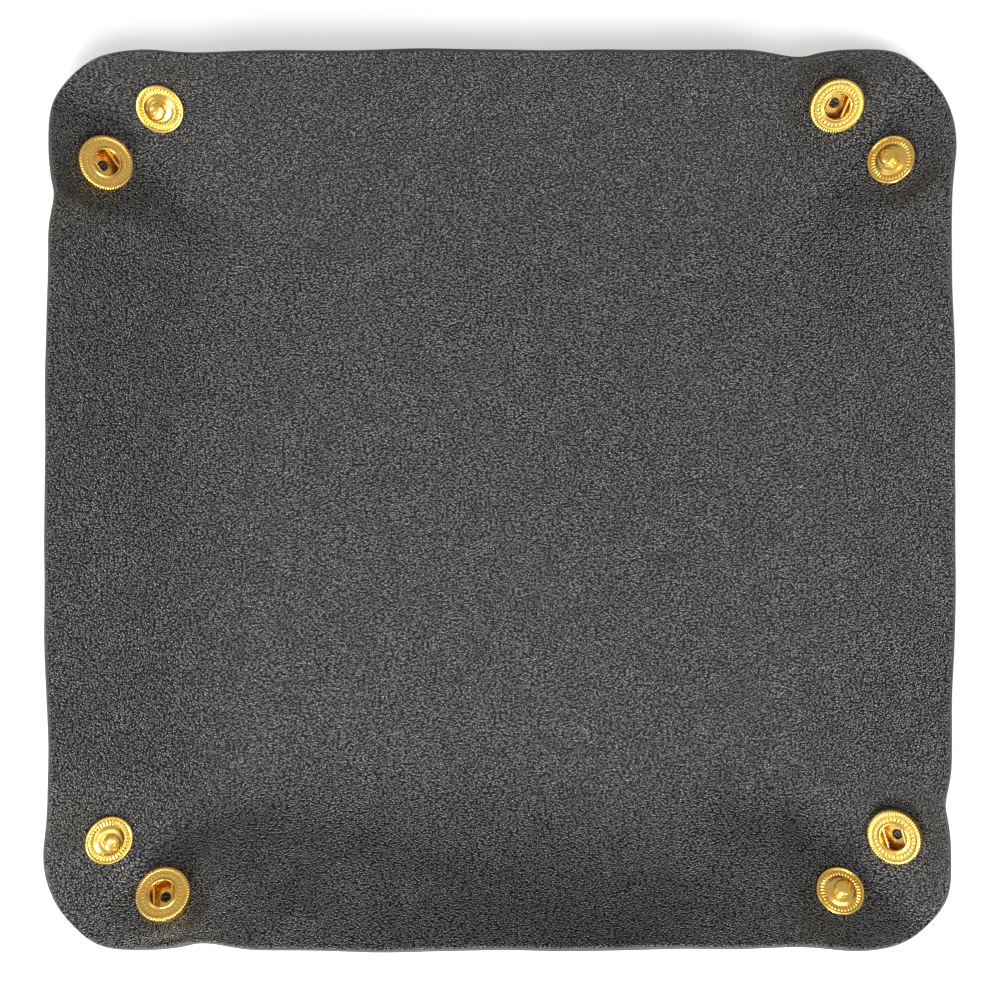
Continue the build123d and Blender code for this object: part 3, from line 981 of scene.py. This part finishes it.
def leather_edge(settings):
    """Raw cut edge: pale fibres over a dark core, darker in patches."""
    nodes, shader = new_material("leather_edge")
    place = nodes.object_place()
    fibre = nodes.group("leather_fibre", place, Size=0.35 * MM)["Height"]
    wear = nodes.group("uneven_wear", place, Size=6 * MM, Sharpness=0.4)
    pale = nodes.mix(fibre, rgba(settings.edge_color, 0.35), rgba(settings.edge_color))
    nodes.feed(shader, {
        "Base Color": nodes.mix(wear["Patches"], pale, rgba(settings.edge_color, 0.4)),
        "Roughness": 0.75,
        "Normal": nodes.relief(fibre, 0.06 * MM),
    })


def gilt_metal(settings):
    """Polished gilt brass: patches of slight tarnish, fine specks and a faintly uneven surface."""
    nodes, shader = new_material("gilt_metal")
    wear = nodes.group("uneven_wear", nodes.object_place(), Size=2.4 * MM, Sharpness=0.3)
    patches = wear["Patches"]
    warm = tuple(part * share for part, share in zip(settings.metal_color, (0.9, 0.8, 0.66)))
    tarnish = nodes.mix(patches, rgba(settings.metal_color), rgba(warm))
    nodes.feed(shader, {
        "Base Color": nodes.mix(wear["Specks"], tarnish, rgba(warm, 0.75)),
        "Metallic": 1.0,
        "Roughness": nodes.range(patches, 0.0, 1.0, settings.polish * 0.7, settings.polish * 1.4),
        "Normal": nodes.relief(patches, 0.03 * MM),
    })


# Operators
def leather_materials():
    """The sheet's three materials, for the face, the underside and the cut edge."""
    return [bpy.data.materials[name] for name in ("leather_face", "leather_back", "leather_edge")]


def folded_surface(context):
    """The folded surface for the present settings, kept for the pieces that follow."""
    settings = context.scene.tray_leather
    values = (getattr(settings, name) for name in LeatherSettings.__annotations__)
    key = tuple(tuple(value) if hasattr(value, "__len__") else value for value in values)
    if KEPT_SURFACE.get("key") != key:
        KEPT_SURFACE.update(key=key, surface=Surface(settings))
    return KEPT_SURFACE["surface"]


def lay_leather(context, name, flat, depth=(0, THICKNESS)):
    """One piece of the sheet over these flat points.

    depth says between which depths under the face it lies, where it isn't as thick as the sheet.
    """
    radius = context.scene.tray_leather.edge_rounding
    piece = slab(name, folded_surface(context), flat, radius, leather_materials(), depth)
    return piece


def set_fasteners(names, socket, profile, segments, relief):
    """A turned metal piece at each corner. names start those of the piece, its ear and its CAD node."""
    metal = bpy.data.materials["gilt_metal"]
    for index, corner in enumerate(CORNERS):
        name, ear, node = (start + corner for start in names)
        piece = turned(name, seat_place(index, socket), profile, segments, relief, metal)
        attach(piece, ear)
        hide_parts(node)


def corner_turns():
    """Each corner's index and name, its side's name and its turn about Z."""
    for index, (side, corner) in enumerate(zip(SIDES, CORNERS)):
        yield index, corner, side, Matrix(quarter_turn(index).tolist())


class TRAY_OT_materials(bpy.types.Operator):
    """Make the leather and metal materials and the groups they share"""

    bl_idname = "tray.materials"
    bl_label = "Materials"

    def execute(self, context):
        for make in (grain_group, wear_group, fibre_group):
            make()
        for make in (leather_face, leather_back, leather_edge):
            make(context.scene.tray_leather)
        gilt_metal(context.scene.tray_fasteners)
        return {"FINISHED"}


class TRAY_OT_base(bpy.types.Operator):
    """Lay the leather's base and its four corner roots"""

    bl_idname = "tray.base"
    bl_label = "Base"

    def execute(self, context):
        base = lay_leather(context, "sheet_base", base_flat())
        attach(base, "base")
        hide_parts("leather_base")
        for index, corner, _, _ in corner_turns():
            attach(lay_leather(context, "sheet_root_" + corner, root_flat(index)), "base")
        return {"FINISHED"}


class TRAY_OT_walls(bpy.types.Operator):
    """Lay the four leather walls with the bends that join them to the base"""

    bl_idname = "tray.walls"
    bl_label = "Walls"

    def execute(self, context):
        for index, _, side, turn in corner_turns():
            wall = lay_leather(context, "sheet_wall_" + side, wall_flat(index))
            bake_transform(wall)
            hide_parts("leather_wall_" + side)
        return {"FINISHED"}


class TRAY_OT_creases(bpy.types.Operator):
    """Lay the strips between the walls and the stud ears"""

    bl_idname = "tray.creases"
    bl_label = "Crease strips"

    def execute(self, context):
        for index, corner, side, _ in corner_turns():
            crease = lay_leather(context, "sheet_crease_" + corner, crease_flat(index))
            normal = np.array([-math.sin(CREASE_ANGLE), math.cos(CREASE_ANGLE)])
            middle = np.array([crease_out(CREASE_MIDDLE), CREASE_MIDDLE])
            spots = [middle - normal * CREASE_BAND[0], middle + normal * CREASE_BAND[1]]
            spots = [np.array([BASE_HALF - u, -BASE_HALF - v, THICKNESS]) for u, v in spots]
            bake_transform(crease)
        return {"FINISHED"}


class TRAY_OT_ears(bpy.types.Operator):
    """Lay the pinched corners: two ears in one piece, and tongues across the open fold"""

    bl_idname = "tray.ears"
    bl_label = "Corner ears"

    def execute(self, context):
        for index, corner, _, turn in corner_turns():
            ears = lay_leather(context, "sheet_ears_" + corner, ear_flat(index))
            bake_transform(ears)
            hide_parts("leather_stud_ear_" + corner, "leather_socket_ear_" + corner)
            depth = TONGUE_DEPTH, THICKNESS - TONGUE_DEPTH
            bodies = "socket_ear_" + corner, "wall_" + SIDES[(index + 1) % 4]
            for name, body, size in zip(("ear_tongue_", "wall_tongue_"), bodies, (EAR_TONGUE, WALL_TONGUE)):
                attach(lay_leather(context, name + corner, tongue_flat(index, *size), depth=depth), body)
        return {"FINISHED"}


class TRAY_OT_sockets(bpy.types.Operator):
    """Finish the four socket covers with their beads, dots and rounded mouths"""

    bl_idname = "tray.sockets"
    bl_label = "Socket covers"

    def execute(self, context):
        settings = context.scene.tray_fasteners
        relief = socket_relief(settings.rim_beads, settings.face_dots)
        segments = SEGMENTS_PER_BEAD * settings.rim_beads
        set_fasteners(("cover_", "socket_ear_", "socket_cover_"), True, socket_profile(), segments, relief)
        return {"FINISHED"}


class TRAY_OT_studs(bpy.types.Operator):
    """Finish the four studs with their rolled rims, ribs and ball heads"""

    bl_idname = "tray.studs"
    bl_label = "Studs"

    def execute(self, context):
        ribs = context.scene.tray_fasteners.stud_ribs
        names = "post_head_", "stud_ear_", "stud_"
        set_fasteners(names, False, stud_profile(), SEGMENTS_PER_RIB * ribs, stud_relief(ribs))
        return {"FINISHED"}


class TRAY_OT_hardware(bpy.types.Operator):
    """Give the part's own posts, socket backs, springs and caps their metal"""

    bl_idname = "tray.hardware"
    bl_label = "Posts, backs, springs and caps"

    def execute(self, context):
        metal = bpy.data.materials["gilt_metal"]
        for name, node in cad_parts.items():
            if not name.startswith("leather"):
                node.data.materials.clear()
                node.data.materials.append(metal)
        return {"FINISHED"}


def new_lamp(name, zenith, azimuth, size, power):
    """A square area lamp turned to the tray's middle, with its angles in degrees."""
    zenith, azimuth = math.radians(zenith), math.radians(azimuth)
    side = Vector((math.cos(azimuth), math.sin(azimuth), 0)) * math.sin(zenith)
    away = side + Vector((0, 0, math.cos(zenith)))
    lamp = bpy.data.lights.new(name, "AREA")
    lamp.size = size
    lamp.energy = power
    thing = bpy.data.objects.new(name, lamp)
    thing.location = away * LAMP_DISTANCE
    thing.rotation_euler = (-away * LAMP_DISTANCE).to_track_quat("-Z", "Y").to_euler()
    bpy.context.scene.collection.objects.link(thing)


class TRAY_OT_stage(bpy.types.Operator):
    """Set the floor, the lamps and the camera"""

    bl_idname = "tray.stage"
    bl_label = "Stage"

    def execute(self, context):
        scene = context.scene
        settings = scene.tray_stage
        nodes, shader = new_material("floor")
        nodes.feed(shader, {"Base Color": rgba(settings.floor_color), "Roughness": 0.8})
        path = nodes.add("ShaderNodeLightPath").outputs
        seen = nodes.math("MAXIMUM", path["Is Camera Ray"], path["Is Glossy Ray"])
        seen = nodes.math("MAXIMUM", seen, path["Is Transmission Ray"])
        glow = nodes.add("ShaderNodeEmission", {"Color": WHITE, "Strength": FLOOR_GLOW})
        dark = nodes.add("ShaderNodeEmission", {"Color": BLACK, "Strength": 0.0})
        chosen = nodes.add("ShaderNodeMixShader", {0: seen, 1: dark.outputs[0], 2: glow.outputs[0]})
        both = nodes.add("ShaderNodeAddShader", {0: shader.outputs[0], 1: chosen.outputs[0]})
        nodes.feed(nodes.tree.nodes["Material Output"], {"Surface": both.outputs[0]})
        angle = np.linspace(0, 2 * np.pi, FLOOR_SEGMENTS + 1)[:-1]
        radius = np.array(FLOOR_RADII)[:, None]
        places = [radius * np.cos(angle), radius * np.sin(angle), radius * np.zeros_like(angle)]
        faces = grid_faces(len(radius), FLOOR_SEGMENTS, wrap=True)
        material = bpy.data.materials["floor"]
        new_piece("floor", np.stack(places, -1).reshape(-1, 3), faces, [material])

        scene.world = bpy.data.worlds.new("studio")
        scene.world.use_nodes = True
        nodes = Nodes(scene.world.node_tree)
        path = nodes.add("ShaderNodeLightPath").outputs
        shown = nodes.math("MAXIMUM", path["Is Glossy Ray"], path["Is Transmission Ray"])
        light = nodes.mix(shown, rgba(settings.room_color), rgba(settings.mirrored_color))
        light = nodes.mix(path["Is Camera Ray"], light, WHITE)
        nodes.feed(nodes.tree.nodes["Background"], {"Color": light, "Strength": 1.0})

        for lamp in LAMPS:
            new_lamp(*lamp)

        camera = bpy.data.cameras.new("camera")
        camera.lens = settings.focal_length
        camera.sensor_width = SENSOR_WIDTH
        camera.clip_start, camera.clip_end = 0.01, 20
        thing = bpy.data.objects.new("camera", camera)
        thing.location = (0, 0, settings.camera_height)
        scene.collection.objects.link(thing)
        scene.camera = thing
        scene.view_settings.view_transform = "Standard"
        return {"FINISHED"}


class TRAY_PT_panel(bpy.types.Panel):
    """The buttons that build the tray."""

    bl_idname = "TRAY_PT_panel"
    bl_label = "Valet tray"
    bl_space_type = "VIEW_3D"
    bl_region_type = "UI"
    bl_category = "Valet tray"

    def draw(self, context):
        for operator in OPERATORS:
            self.layout.operator(operator.bl_idname)


SETTINGS = {
    "tray_leather": LeatherSettings,
    "tray_fasteners": FastenerSettings,
    "tray_stage": StageSettings,
}
OPERATORS = (
    TRAY_OT_materials, TRAY_OT_base, TRAY_OT_walls, TRAY_OT_creases, TRAY_OT_ears,
    TRAY_OT_sockets, TRAY_OT_studs, TRAY_OT_hardware, TRAY_OT_stage,
)


def register():
    for kind in (*SETTINGS.values(), *OPERATORS, TRAY_PT_panel):
        bpy.utils.register_class(kind)
    for name, kind in SETTINGS.items():
        setattr(bpy.types.Scene, name, PointerProperty(type=kind))


def unregister():
    for name in SETTINGS:
        delattr(bpy.types.Scene, name)
    for kind in (TRAY_PT_panel, *reversed(OPERATORS), *SETTINGS.values()):
        bpy.utils.unregister_class(kind)


def main():
    register()
    bpy.ops.tray.materials()
    bpy.ops.tray.base()
    bpy.ops.tray.walls()
    bpy.ops.tray.creases()
    bpy.ops.tray.ears()
    bpy.ops.tray.sockets()
    bpy.ops.tray.studs()
    bpy.ops.tray.hardware()
    bpy.ops.tray.stage()


if __name__ == "__main__":
    main()
